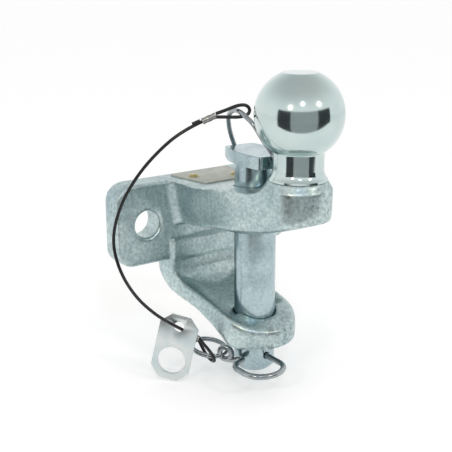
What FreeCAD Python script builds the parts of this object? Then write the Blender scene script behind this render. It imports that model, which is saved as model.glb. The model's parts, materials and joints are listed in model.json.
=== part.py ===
"""Forged two-bolt towing jaw with a 50 mm ball, a drop-through coupling pin and its lanyard.

Origin: centre of the two-bolt pattern on the mounting face. +X points away from the vehicle,
+Z is up, Y is across the vehicle. All lengths are millimetres.
"""
import FreeCAD
import Part

import math
import os

from FreeCAD import Vector as V

# ---- driving dimensions -------------------------------------------------------------------
FLANGE_THICK = 16.0
FLANGE_HALF_WIDTH = 66.0
FLANGE_HALF_HEIGHT = 25.75
FLANGE_CORNER_R = 11.0
BOLT_SPACING = 90.0
PAD_DEPTH = 1.5            # plain raised pad on the wall between the jaws
PAD_HALF_WIDTH = 28.0
PAD_TOP_Z = -12.5
BOLT_HOLE_R = 8.75

PIN_X = 65.0
PIN_R = 12.5
PIN_HOLE_R = 12.9
PIN_BOTTOM_Z = -86.0
PIN_TOP_Z = 49.8
PIN_YAW = -4.5             # degrees the head and its bail are turned from the X axis

HEAD_HALF_LENGTH = 19.6
HEAD_HALF_WIDTH = 13.0
HEAD_END_HALF_WIDTH = 9.6
HEAD_BOTTOM_Z = 42.4
HEAD_HOLE_Z = 45.6

BAIL_WIRE_R = 1.4
BAIL_HOLE_R = 1.48
BAIL_LEAN = 24.0           # degrees the bail leans towards -Y at rest
# Corners of the wire's runs in the bail's own plane: along the head, then up from the feet.
# The leg beside the ball is bent in further than the other, to pass the ball as the pin lifts.
BAIL_ROUTE = [(-14.4, 0), (-21.9, 0), (-20.6, 13.5), (-14.0, 26.5), (0.5, 32.5),
              (13.2, 24.0), (16.2, 15.2), (21.5, 6.9), (21.9, 0), (14.4, 0)]
BAIL_BEND_R = 1.9          # bend where each foot turns into the head

BALL_X = 104.0
BALL_Z = 76.0
BALL_R = 25.0
BALL_FLAT_R = 10.1
NECK_R = 14.3
COLLAR_R = 16.7
COLLAR_Z = 40.0

ARM_BOSS_R = 24.0
NOSE_R = 19.2
ARM_ROOT_HALF_LOW = 22.6
ARM_ROOT_HALF_HIGH = 30.6
ROOT_FILLET_R = 6.0
ARM_LEVEL_X = 37.5         # the arm's top is level with the flange as far as this

NAMEPLATE_THICK = 0.8
RIVET_SHANK_R = 1.4
RIVET_HOLE_R = 1.5
RIVET_HOLE_DEPTH = 5.0
RIVET_PLACES = [(17.9, -12.6), (27.5, 12.6)]

JAW_R = 25.3
JAW_BOTTOM_Z = -67.5
SEAT_R = 17.6
SEAT_Z = -51.0
DISH_R = 47.0
DISH_END_X = 68.0
JAW_ROOT_HALF = 28.8

CLIP_Z = -76.0
CLIP_WIRE_R = 1.75
CLIP_HOLE_R = 2.3

RING_WIRE_R = 0.8
RING_MEAN_R = 11.0
RING_CENTRE = V(52.2, -24.9, -73.5)
RING_TILT = 10.0           # degrees the ring drops towards the clip's eye
RING_AZIMUTH = 32.0        # direction from the ring's centre to the clip's eye
CLIP_EYE_R = 3.9

CABLE_R = 1.0
FERRULE_R = 1.9
TAG_THICK = 1.5
TAG_HALF_WIDTH = 12.0
TAG_HOLE_SPACING = 22.3
TAG_BOLT_HOLE_R = 8.5
TAG_EYE_R = 3.2
TAG_EYE_CENTRE = V(49.0, -44.8, -56.4)
TAG_AZIMUTH = -45.0        # direction the tag faces, degrees from +X
TAG_LEAN = 12.7            # degrees the tag hangs off the vertical

# Lanyard routes: hand-chosen corners of the straight runs that tangent arcs round off.
UPPER_EYE_ROUTE = [
    V(57.6, -23.3, 72.3), V(61.0, -18.6, 74.3), V(64.5, -13.4, 77.0), V(67.6, -9.2, 77.5),
    V(69.3, -7.3, 74.6), V(68.6, -9.0, 71.4), V(65.6, -13.1, 70.3), V(61.7, -18.5, 70.5),
    V(57.9, -23.5, 70.4),
]
UPPER_RUN_ROUTE = [
    V(53.8, -30.1, 67.9), V(49.4, -37.8, 63.9), V(42.4, -48.0, 55.0), V(32.8, -60.5, 38.0),
    V(25.0, -70.0, 17.0), V(23.4, -72.1, 5.3),
]
LOWER_RUN_ROUTE = [
    V(23.4, -72.1, 5.3), V(22.1, -73.8, -4.2), V(26.8, -71.8, -22.0), V(35.5, -66.5, -36.5),
    V(43.6, -58.0, -47.0), V(49.6, -48.9, -54.0), V(48.4, -41.6, -59.1), V(50.2, -37.8, -62.0),
]
LOWER_EYE_ROUTE = [
    V(53.2, -33.1, -65.0), V(56.9, -32.6, -67.3), V(61.5, -32.0, -69.6), V(65.2, -31.1, -72.6),
    V(65.2, -29.7, -77.0), V(60.7, -29.4, -77.9), V(56.9, -30.6, -75.0), V(54.0, -32.0, -69.9),
    V(51.7, -32.7, -66.3),
]

Z_AXIS = V(0, 0, 1)


# ---- small geometry helpers ---------------------------------------------------------------
def cylinder(centre, radius, height, axis=Z_AXIS):
    """A cylinder that starts at centre and runs along axis."""
    return Part.makeCylinder(radius, height, centre, axis)


def upright_cylinder(x, y, radius, z_low, z_high):
    """A vertical cylinder between two heights."""
    return cylinder(V(x, y, z_low), radius, z_high - z_low)


def extruded(outline, vector):
    """A prism from a closed list of edges."""
    return Part.Face(Part.Wire(outline)).extrude(vector)


def polygon_edges(points):
    """The straight edges of a closed polygon."""
    return [Part.makeLine(a, b) for a, b in zip(points, points[1:] + points[:1])]


def smooth_edge(points):
    """One smooth curve through a few points."""
    curve = Part.BSplineCurve()
    curve.interpolate(points)
    return curve.toShape()


def arc(first, middle, last):
    """A circular edge through three points."""
    return Part.Arc(first, middle, last).toShape()


def fillet_where(shape, radius, wanted):
    """Rounds every edge for which wanted(edge) is true."""
    return shape.makeFillet(radius, [edge for edge in shape.Edges if wanted(edge)])


def edge_middle(edge):
    """The point half-way along an edge."""
    return edge.valueAt(0.5 * (edge.FirstParameter + edge.LastParameter))


def rounded_route(points, radii=None):
    """Straight runs joined by tangent arcs; returns the wire and the arcs' radii.

    Each arc is as large as its runs allow unless radii gives one for that corner.
    """
    edges, used, start = [], [], points[0]
    for i in range(1, len(points) - 1):
        before, corner, after = points[i - 1], points[i], points[i + 1]
        way_in, way_out = (corner - before), (after - corner)
        shorter = min(way_in.Length, way_out.Length)
        way_in, way_out = way_in.normalize(), way_out.normalize()
        half_turn = 0.5 * math.acos(max(-1.0, min(1.0, way_in.dot(way_out))))
        radius = (radii or {}).get(i, 0.45 * shorter / math.tan(half_turn))
        setback = radius * math.tan(half_turn)
        first, last = corner - way_in * setback, corner + way_out * setback
        inward = (way_out - way_in).normalize()
        centre = corner + inward * (radius / math.cos(half_turn))
        edges.append(Part.LineSegment(start, first).toShape())
        edges.append(arc(first, centre - inward * radius, last))
        used.append(round(radius, 1))
        start = last
    edges.append(Part.LineSegment(start, points[-1]).toShape())
    return Part.Wire(edges), used


def tube(name, points, radius, radii=None):
    """A round bar along a route of runs and arcs."""
    path, used = rounded_route(points, radii)
    direction = points[1] - points[0]
    section = Part.Wire(Part.makeCircle(radius, points[0], direction))
    bar = path.makePipeShell([section], True, False)
    expected = math.pi * radius ** 2 * path.Length
    print(f"{name}: length {path.Length:.1f} mm, radii {used}, "
          f"volume {bar.Volume:.1f} of {expected:.1f} mm3")
    return bar


def turned(profile, axis_x=0.0):
    """A solid of revolution about the vertical line at X = axis_x; profile edges lie in XZ."""
    solid = Part.Face(Part.Wire(profile)).revolve(V(axis_x, 0, 0), Z_AXIS, 360)
    return Part.makeSolid(Part.Shell(solid.Faces)) if solid.ShapeType != "Solid" else solid


def yawed(shape):
    """Turns a pin part about the pin's own axis to the way it rests."""
    shape.rotate(V(PIN_X, 0, 0), Z_AXIS, PIN_YAW)
    return shape


# ---- the forging --------------------------------------------------------------------------
def make_flange():
    """The plate that bolts to the vehicle, with its two bolt holes."""
    plate = Part.makeBox(FLANGE_THICK, 2 * FLANGE_HALF_WIDTH, 2 * FLANGE_HALF_HEIGHT,
                         V(0, -FLANGE_HALF_WIDTH, -FLANGE_HALF_HEIGHT))
    plate = fillet_where(plate, FLANGE_CORNER_R,
                         lambda e: e.Length < FLANGE_THICK + 1 and abs(edge_middle(e).y) > 60)
    plate = fillet_where(plate, 1.8, lambda e: edge_middle(e).x > FLANGE_THICK - 0.1
                         and abs(edge_middle(e).y) > 40)
    for side in (-1, 1):
        plate = plate.cut(cylinder(V(-1, side * BOLT_SPACING / 2, 0), BOLT_HOLE_R,
                                   FLANGE_THICK + 2, V(1, 0, 0)))
    pad = Part.makeBox(PAD_DEPTH, 2 * PAD_HALF_WIDTH, PAD_TOP_Z + FLANGE_HALF_HEIGHT,
                       V(FLANGE_THICK, -PAD_HALF_WIDTH, -FLANGE_HALF_HEIGHT))
    return plate.fuse(pad).removeSplitter()


def arm_plan(z, root_half, boss_r, nose_r):
    """The arm's outline seen from above, at one height."""
    reach = BALL_X - PIN_X
    lean = math.asin((boss_r - nose_r) / reach)
    points = []
    for side in (-1, 1):
        points.append([
            V(FLANGE_THICK, side * (root_half + ROOT_FILLET_R), z),
            V(FLANGE_THICK + 0.293 * ROOT_FILLET_R, side * (root_half + 0.293 * ROOT_FILLET_R), z),
            V(FLANGE_THICK + ROOT_FILLET_R, side * root_half, z),
            V(PIN_X + boss_r * math.sin(lean), side * boss_r * math.cos(lean), z),
            V(BALL_X + nose_r * math.sin(lean), side * nose_r * math.cos(lean), z),
        ])
    near, far = points
    nose_tip = V(BALL_X + nose_r, 0, z)
    return Part.Wire([
        arc(near[0], near[1], near[2]), Part.makeLine(near[2], near[3]),
        Part.makeLine(near[3], near[4]), arc(near[4], nose_tip, far[4]),
        Part.makeLine(far[4], far[3]), Part.makeLine(far[3], far[2]),
        arc(far[2], far[1], far[0]), Part.makeLine(far[0], near[0]),
    ])


def make_arm():
    """The upper jaw: arm, pin boss, ball pedestal and rounded nose."""
    block = Part.makeLoft([
        arm_plan(-6.0, ARM_ROOT_HALF_LOW - 1.4, ARM_BOSS_R - 0.3, NOSE_R - 0.4),
        arm_plan(44.0, ARM_ROOT_HALF_HIGH, ARM_BOSS_R + 0.6, NOSE_R + 0.4)], True, True)
    level_end = V(ARM_LEVEL_X, 40, FLANGE_HALF_HEIGHT)
    level = Part.makeLine(V(FLANGE_THICK, 40, FLANGE_HALF_HEIGHT), level_end)
    top = smooth_edge([level_end, V(44, 40, 26.6), V(52, 40, 28.2), V(66, 40, 29.7),
                       V(130, 40, 31.0)])
    bottom = smooth_edge([V(FLANGE_THICK, 40, -2.6), V(31, 40, -0.8), V(52, 40, 2.4),
                          V(70, 40, 5.3), V(88, 40, 7.6), V(106, 40, 12.0), V(130, 40, 20.5)])
    profile = [level, top, Part.makeLine(V(130, 40, 31.0), V(130, 40, 20.5)), bottom,
               Part.makeLine(V(FLANGE_THICK, 40, -2.6), V(FLANGE_THICK, 40, FLANGE_HALF_HEIGHT))]
    side = extruded(Part.__sortEdges__(profile), V(0, -80, 0))
    pedestal = turned([
        Part.makeLine(V(BALL_X, 0, 25), V(BALL_X + 32, 0, 25)),
        Part.makeLine(V(BALL_X + 32, 0, 25), V(BALL_X + 32, 0, 30.2)),
        arc(V(BALL_X + 32, 0, 30.2), V(BALL_X + 21.6, 0, 33.2), V(BALL_X + COLLAR_R, 0, COLLAR_Z)),
        Part.makeLine(V(BALL_X + COLLAR_R, 0, COLLAR_Z), V(BALL_X, 0, COLLAR_Z)),
        Part.makeLine(V(BALL_X, 0, COLLAR_Z), V(BALL_X, 0, 25)),
    ], BALL_X)
    boss = upright_cylinder(PIN_X, 0, ARM_BOSS_R - 3.2, 3.6, 14.0)
    arm = block.common(side.fuse(pedestal)).fuse(boss)
    arm = arm.cut(upright_cylinder(PIN_X, 0, PIN_HOLE_R, -10, 60))
    for x, y in RIVET_PLACES:
        arm = arm.cut(upright_cylinder(x, y, RIVET_HOLE_R,
                                       FLANGE_HALF_HEIGHT - RIVET_HOLE_DEPTH, 40))
    return arm.removeSplitter()


def make_jaw():
    """The lower jaw: a dished tongue that runs from the flange down to the pin eye."""
    rim = smooth_edge([V(17.5, 40, -33.5), V(23, 40, -38.0), V(43.5, 40, -43.0),
                       V(60, 40, -45.8), V(70, 40, -48.4), V(79, 40, -51.2), V(92, 40, -55.5)])
    belly = smooth_edge([V(0, 40, -35.0), V(4.5, 40, -40.5), V(21, 40, -48.8),
                         V(41, 40, -55.0), V(57, 40, -60.2), V(70, 40, JAW_BOTTOM_Z)])
    profile = [
        Part.makeLine(V(0, 40, -35.0), V(0, 40, -FLANGE_HALF_HEIGHT)),
        Part.makeLine(V(0, 40, -FLANGE_HALF_HEIGHT), V(16.5, 40, -FLANGE_HALF_HEIGHT)),
        Part.makeLine(V(16.5, 40, -FLANGE_HALF_HEIGHT), V(17.5, 40, -33.5)), rim,
        Part.makeLine(V(92, 40, -55.5), V(92, 40, JAW_BOTTOM_Z)),
        Part.makeLine(V(92, 40, JAW_BOTTOM_Z), V(70, 40, JAW_BOTTOM_Z)), belly]
    side = extruded(Part.__sortEdges__(profile), V(0, -80, 0))
    flare = [[V(0, side * JAW_ROOT_HALF, -80), V(FLANGE_THICK, side * (JAW_ROOT_HALF - 0.4), -80),
              V(26, side * (JAW_R + 1.4), -80), V(38, side * JAW_R, -80)] for side in (-1, 1)]
    near, far = [[smooth_edge(way), Part.makeLine(way[-1], V(PIN_X, way[-1].y, -80))]
                 for way in flare]
    plan = extruded(Part.__sortEdges__(
        near + far + [Part.makeLine(flare[0][0], flare[1][0]),
                      Part.makeLine(V(PIN_X, -JAW_R, -80), V(PIN_X, JAW_R, -80))]),
        V(0, 0, 60)).fuse(upright_cylinder(PIN_X, 0, JAW_R, -80, -20)).removeSplitter()
    jaw = side.common(plan)
    # The dish: a large cylinder laid along the tongue, stopped short of the flange by a round.
    slope = V(55, 0, -12.5).normalize()
    upward = V(-slope.z, 0, slope.x)
    dish_axis = V(17, 0, -41.5) + upward * DISH_R
    dish = cylinder(dish_axis - slope * 30, DISH_R, 95, slope)
    round_back = [Part.makeLine(V(17.4, 40, -20), V(17.4, 40, -30)),
                  arc(V(17.4, 40, -30), V(20.6, 40, -38.6), V(28.6, 40, -44.2)),
                  Part.makeLine(V(28.6, 40, -44.2), V(40, 40, -60)),
                  Part.makeLine(V(40, 40, -60), V(DISH_END_X, 40, -60)),
                  Part.makeLine(V(DISH_END_X, 40, -60), V(DISH_END_X, 40, -20)),
                  Part.makeLine(V(DISH_END_X, 40, -20), V(17.4, 40, -20))]
    jaw = jaw.cut(dish.common(extruded(round_back, V(0, -80, 0))))
    seat = upright_cylinder(PIN_X, 0, SEAT_R, JAW_BOTTOM_Z + 3, SEAT_Z)
    jaw = jaw.fuse(seat)
    jaw = jaw.cut(upright_cylinder(PIN_X, 0, PIN_HOLE_R, -80, -20))
    return jaw.removeSplitter()


def make_ball():
    """The machined ball with its flat top, neck and flared collar."""
    neck_top = BALL_Z - math.sqrt(BALL_R ** 2 - (NECK_R + 0.9) ** 2)
    flat_z = BALL_Z + math.sqrt(BALL_R ** 2 - BALL_FLAT_R ** 2)
    flare_z = COLLAR_Z + 6.5

    def at(radius, z):
        return V(BALL_X + radius, 0, z)

    profile = [
        Part.makeLine(at(0, COLLAR_Z), at(COLLAR_R, COLLAR_Z)),
        Part.makeLine(at(COLLAR_R, COLLAR_Z), at(COLLAR_R - 0.3, COLLAR_Z + 1.0)),
        arc(at(COLLAR_R - 0.3, COLLAR_Z + 1.0), at(NECK_R + 0.55, COLLAR_Z + 3.4),
            at(NECK_R, flare_z)),
        Part.makeLine(at(NECK_R, flare_z), at(NECK_R, neck_top - 0.9)),
        arc(at(NECK_R, neck_top - 0.9), at(NECK_R + 0.26, neck_top - 0.26),
            at(NECK_R + 0.9, neck_top)),
        arc(at(NECK_R + 0.9, neck_top), at(BALL_R, BALL_Z), at(BALL_FLAT_R, flat_z)),
        Part.makeLine(at(BALL_FLAT_R, flat_z), at(0, flat_z)),
        Part.makeLine(at(0, flat_z), at(0, COLLAR_Z)),
    ]
    return turned(profile, BALL_X)


def make_nameplate():
    """A thin blank plate riveted to the top of the arm, narrower towards the pin."""
    z = FLANGE_HALF_HEIGHT
    corners = [V(4.7, -22.2, z), V(36.6, -15.9, z), V(36.6, 15.9, z), V(4.7, 22.2, z)]
    plate = extruded(polygon_edges(corners), V(0, 0, NAMEPLATE_THICK))
    for x, y in RIVET_PLACES:
        plate = plate.cut(upright_cylinder(x, y, RIVET_HOLE_R, z - 1, z + 2))
    return plate


def make_rivets():
    """Two domed rivets whose shanks go down into the arm."""
    dome_r, dome_height = 3.3, 1.5
    face = FLANGE_HALF_HEIGHT + NAMEPLATE_THICK
    rivets = []
    for x, y in RIVET_PLACES:
        dome = Part.makeSphere(dome_r, V(x, y, face + dome_height - dome_r))
        dome = dome.common(upright_cylinder(x, y, dome_r, face, face + dome_height))
        shank = upright_cylinder(x, y, RIVET_SHANK_R,
                                 FLANGE_HALF_HEIGHT - RIVET_HOLE_DEPTH + 0.5, face)
        rivets.append(dome.fuse(shank))
    return Part.makeCompound(rivets)


# ---- coupling pin and bail ----------------------------------------------------------------
def make_pin():
    """The round pin with its forged head, the bail's cross hole and the clip's cross hole."""
    shank = upright_cylinder(PIN_X, 0, PIN_R, PIN_BOTTOM_Z, HEAD_BOTTOM_Z + 2)
    shank = shank.makeChamfer(2.4, [e for e in shank.Edges
                                    if abs(e.BoundBox.ZMax - PIN_BOTTOM_Z) < 0.01])
    top, low = PIN_TOP_Z, HEAD_BOTTOM_Z
    length, wide, end = HEAD_HALF_LENGTH, HEAD_HALF_WIDTH, HEAD_END_HALF_WIDTH
    outline = [
        arc(V(PIN_X - length, -end, low), V(PIN_X, -wide, low), V(PIN_X + length, -end, low)),
        Part.makeLine(V(PIN_X + length, -end, low), V(PIN_X + length, end, low)),
        arc(V(PIN_X + length, end, low), V(PIN_X, wide, low), V(PIN_X - length, end, low)),
        Part.makeLine(V(PIN_X - length, end, low), V(PIN_X - length, -end, low))]
    head = extruded(outline, V(0, 0, top - low))
    head = fillet_where(head, 2.2, lambda e: abs(e.BoundBox.ZLength - (top - low)) < 0.01)
    head = fillet_where(head, 0.7, lambda e: e.BoundBox.ZMin > top - 0.01)
    # The underside of the end over the flange slopes up to a thin tip.
    taper = [V(PIN_X - length - 1, 20, low - 1), V(PIN_X - PIN_R, 20, low - 1),
             V(PIN_X - PIN_R, 20, low), V(PIN_X - length - 1, 20, low + 2.2)]
    head = head.cut(extruded(polygon_edges(taper), V(0, -40, 0)))
    pin = shank.fuse(head)
    pin = pin.cut(cylinder(V(PIN_X - 30, 0, HEAD_HOLE_Z), BAIL_HOLE_R, 60, V(1, 0, 0)))
    pin = yawed(pin.removeSplitter())
    return pin.cut(cylinder(V(PIN_X - 30, 0, CLIP_Z), CLIP_HOLE_R, 60, V(1, 0, 0)))


def make_bail():
    """The wire loop that lifts the pin; its feet turn in the head's cross hole."""
    lean = math.radians(BAIL_LEAN)
    points = [V(PIN_X + x, -s * math.sin(lean), HEAD_HOLE_Z + s * math.cos(lean))
              for x, s in BAIL_ROUTE]
    foot_bends = {1: BAIL_BEND_R, len(points) - 2: BAIL_BEND_R}
    return yawed(tube("pin_bail", points, BAIL_WIRE_R, foot_bends))


# ---- lanyard, tag, clip and ring ----------------------------------------------------------
def make_ferrule(route_end, eye_route):
    """A crimped sleeve from the end of a run to the root of an eye."""
    axis = (eye_route[0] + eye_route[-1]) * 0.5 - route_end
    sleeve = cylinder(route_end, FERRULE_R, axis.Length, axis)
    return sleeve.makeChamfer(0.3, [e for e in sleeve.Edges if e.Closed])


def make_tag():
    """The anchor tag: a long octagon with a bolt hole and a cable hole."""
    wide, cut = TAG_HALF_WIDTH, 6.0
    top, low = 7.0, -TAG_HOLE_SPACING - 13.0
    outline = [V(0, -wide + cut, top), V(0, wide - cut, top), V(0, wide, top - cut),
               V(0, wide, low + cut + 1), V(0, wide - cut, low), V(0, -wide + cut, low),
               V(0, -wide, low + cut + 1), V(0, -wide, top - cut)]
    tag = extruded(polygon_edges(outline), V(TAG_THICK, 0, 0))
    tag = tag.cut(cylinder(V(-1, 0, 0), TAG_EYE_R, TAG_THICK + 2, V(1, 0, 0)))
    tag = tag.cut(cylinder(V(-1, 0, -TAG_HOLE_SPACING), TAG_BOLT_HOLE_R, TAG_THICK + 2,
                           V(1, 0, 0)))
    tag.translate(V(-TAG_THICK / 2, 0, 0))
    tag.rotate(V(0, 0, 0), V(1, 0, 0), -TAG_LEAN)
    tag.rotate(V(0, 0, 0), Z_AXIS, TAG_AZIMUTH)
    tag.translate(TAG_EYE_CENTRE)
    return tag


def make_clip():
    """The hairpin clip: a leg through the pin, a wide bow, a leg that hugs the pin and an eye."""
    z = CLIP_Z
    eye_centre = ring_point(RING_AZIMUTH)
    low = eye_centre - V(0, 0, CLIP_EYE_R)
    along = V(math.cos(math.radians(RING_AZIMUTH)), math.sin(math.radians(RING_AZIMUTH)), 0)
    points = [V(45.0, 0, z), V(95.4, 0, z), V(104.4, -11.0, z), V(98.0, -26.4, z),
              V(79.0, -26.4, z), V(74.4, -15.7, z), V(71.2, -14.9, z - 0.6),
              low + along * 5.6, low]
    bends = {1: 10.0, 2: 14.0, 3: 11.5, 4: 7.5, 5: 2.2}
    wire = tube("hairpin_clip", points, CLIP_WIRE_R, bends)
    eye = Part.makeTorus(CLIP_EYE_R, CLIP_WIRE_R, eye_centre, V(-along.y, along.x, 0))
    return wire.fuse(eye)


def ring_axis():
    """The split ring's own axis, tilted off the vertical."""
    tilt, azimuth = math.radians(RING_TILT), math.radians(RING_AZIMUTH)
    return V(math.sin(tilt) * math.cos(azimuth), math.sin(tilt) * math.sin(azimuth),
             math.cos(tilt))


def ring_point(azimuth_deg):
    """The point of the ring's centre line in one direction seen from above."""
    axis = ring_axis()
    azimuth = math.radians(azimuth_deg)
    level = V(math.cos(azimuth), math.sin(azimuth), 0)
    way = (level - axis * level.dot(axis)).normalize()
    return RING_CENTRE + way * RING_MEAN_R


def make_ring():
    """The split ring: two turns of wire lying on each other, joined along their seam."""
    axis = ring_axis()
    lower, upper = [Part.makeTorus(RING_MEAN_R, RING_WIRE_R, RING_CENTRE + axis * (s * RING_WIRE_R),
                                   axis) for s in (-1, 1)]
    base = RING_CENTRE - axis * RING_WIRE_R
    seam = cylinder(base, RING_MEAN_R + 0.35, 2 * RING_WIRE_R, axis).cut(
        cylinder(base, RING_MEAN_R - 0.35, 2 * RING_WIRE_R, axis))
    return lower.fuse(upper).fuse(seam)


def main():
    """Builds every node and writes its STEP file."""
    os.makedirs("parts", exist_ok=True)
    nodes = {
        "mounting_flange": make_flange(),
        "ball_arm": make_arm(),
        "tow_ball": make_ball(),
        "lower_jaw": make_jaw(),
        "nameplate": make_nameplate(),
        "nameplate_rivets": make_rivets(),
        "coupling_pin": make_pin(),
        "pin_bail": make_bail(),
        "upper_ferrule": make_ferrule(UPPER_RUN_ROUTE[0], UPPER_EYE_ROUTE),
        "lanyard_upper_eye": tube("lanyard_upper_eye", UPPER_EYE_ROUTE, CABLE_R),
        "lanyard_upper_run": tube("lanyard_upper_run", UPPER_RUN_ROUTE, CABLE_R),
        "lanyard_lower_run": tube("lanyard_lower_run", LOWER_RUN_ROUTE, CABLE_R),
        "lower_ferrule": make_ferrule(LOWER_RUN_ROUTE[-1], LOWER_EYE_ROUTE),
        "lanyard_lower_eye": tube("lanyard_lower_eye", LOWER_EYE_ROUTE, CABLE_R),
        "anchor_tag": make_tag(),
        "hairpin_clip": make_clip(),
        "split_ring": make_ring(),
    }
    for name, shape in nodes.items():
        shape.exportStep(os.path.join("parts", name + ".step"))
        print(f"{name}: {len(shape.Solids)} solid(s), {shape.Volume / 1000:.2f} cm3, "
              f"valid {shape.isValid()}")


main()
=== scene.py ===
"""Towing jaw with a 50 mm ball, a lift-out coupling pin and its lanyard, dressed for rendering.

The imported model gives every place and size. The forging gets one soft-edged skin, the small
parts get their made details, and the cable is a smooth spline through its own route.
"""

import bmesh
import bpy
import json
import logging
import math

from dataclasses import dataclass, field
from enum import Enum
from mathutils import Matrix, Vector

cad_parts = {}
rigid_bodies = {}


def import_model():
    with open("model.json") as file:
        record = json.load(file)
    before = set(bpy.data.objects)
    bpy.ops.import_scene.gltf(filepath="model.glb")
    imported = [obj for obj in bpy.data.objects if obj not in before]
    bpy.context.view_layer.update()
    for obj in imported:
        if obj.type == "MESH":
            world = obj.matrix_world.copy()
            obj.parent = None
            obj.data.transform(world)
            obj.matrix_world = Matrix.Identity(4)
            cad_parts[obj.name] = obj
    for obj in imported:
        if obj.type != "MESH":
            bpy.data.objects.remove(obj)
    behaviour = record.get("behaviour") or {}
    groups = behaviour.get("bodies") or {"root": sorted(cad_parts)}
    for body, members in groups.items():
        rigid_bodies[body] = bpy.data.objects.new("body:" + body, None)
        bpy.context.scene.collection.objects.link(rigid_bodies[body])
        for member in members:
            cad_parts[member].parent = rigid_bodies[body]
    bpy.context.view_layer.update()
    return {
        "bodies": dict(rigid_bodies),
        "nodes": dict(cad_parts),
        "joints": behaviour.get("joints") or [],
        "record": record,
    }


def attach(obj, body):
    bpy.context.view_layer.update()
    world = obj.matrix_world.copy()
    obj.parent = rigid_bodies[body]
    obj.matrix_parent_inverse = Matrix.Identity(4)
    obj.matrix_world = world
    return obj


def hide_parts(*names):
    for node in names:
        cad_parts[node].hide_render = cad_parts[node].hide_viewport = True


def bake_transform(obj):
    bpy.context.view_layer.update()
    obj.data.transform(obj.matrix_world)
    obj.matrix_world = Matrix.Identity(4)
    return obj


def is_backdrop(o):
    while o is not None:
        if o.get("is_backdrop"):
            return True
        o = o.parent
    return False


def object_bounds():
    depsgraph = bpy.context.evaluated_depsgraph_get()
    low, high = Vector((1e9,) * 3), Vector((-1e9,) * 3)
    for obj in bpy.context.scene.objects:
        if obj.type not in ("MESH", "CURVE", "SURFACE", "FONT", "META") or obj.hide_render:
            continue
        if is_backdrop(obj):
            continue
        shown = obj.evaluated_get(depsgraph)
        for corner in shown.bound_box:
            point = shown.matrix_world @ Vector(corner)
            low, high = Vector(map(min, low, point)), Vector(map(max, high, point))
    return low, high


LOG = logging.getLogger("towing_jaw")
MM = 0.001
WELD_MM = 0.001             # corners of one shape that are closer than this are one corner
SPUN_WELD_MM = 0.002        # the same, for the points of a spun shape that lie on its axis

Point = tuple[float, float, float]


# ---- finishes -------------------------------------------------------------------------------
# Pointiness is 0.5 on the flat, less in hollows and more on edges. Hollows get painted shade:
# their colour is darkened towards the shade colour, up to a share of 0.6; on edges it is worn
# bright from 0.515 up.
HOLLOW_SHADE_BAND = {"From Min": 0.43, "From Max": 0.495, "To Min": 0.6, "To Max": 0.0}
WORN_FROM, WORN_TO = 0.515, 0.60
CLOUD_LOW, CLOUD_HIGH = 0.35, 0.68      # the part of the noise that drifts from tint to shade
SAND_LOW, SAND_HIGH = 0.36, 0.64        # the part of the grain that goes from dark to light
GRAIN_RELIEF_MM = 0.12
STRAND_RELIEF_MM = 0.05
# The forging's rough ends, as places along X, and the height that the jaw's end lies below.
NOSE_SCALE_MM = (112.5, 121.5)
EYE_SCALE_MM = (80.0, 89.0)
EYE_BELOW_MM = -30.0
PIT_BAND = {"From Min": 0.50, "From Max": 0.62, "To Min": 0.0, "To Max": 0.55}
PIT_COLOUR = "#4B5655"
PIT_DULLING = 0.3


def linear(hex_colour: str) -> tuple[float, float, float, float]:
    """Turns an sRGB hex colour to the linear values a shader reads.

    Args:
        hex_colour: The colour as "#RRGGBB".

    Returns:
        Red, green, blue and an alpha of 1.
    """
    parts = [int(hex_colour[i:i + 2], 16) / 255 for i in (1, 3, 5)]
    red, green, blue = [c / 12.92 if c <= 0.04045 else ((c + 0.055) / 1.055) ** 2.4
                        for c in parts]
    return red, green, blue, 1.0


def node(tree: bpy.types.NodeTree, kind: str, links: dict | None = None,
         values: dict | None = None, **settings: object) -> bpy.types.Node:
    """Adds a shader node, with its settings, its sockets' numbers and its links.

    Args:
        tree: The node tree that takes the node.
        kind: Blender's name for the kind of node.
        links: Input socket name or number to the output socket that feeds it.
        values: Input socket name or number to its number or colour.
        **settings: The node's own properties.

    Returns:
        The new node.
    """
    made = tree.nodes.new(kind)
    for name, value in settings.items():
        setattr(made, name, value)
    for name, value in (values or {}).items():
        made.inputs[name].default_value = value
    for name, source in (links or {}).items():
        tree.links.new(source, made.inputs[name])
    return made


def per_metre(size_mm: float) -> float:
    """The texture scale that gives a pattern of this size in millimetres."""
    return 1.0 / (size_mm * MM)


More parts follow.
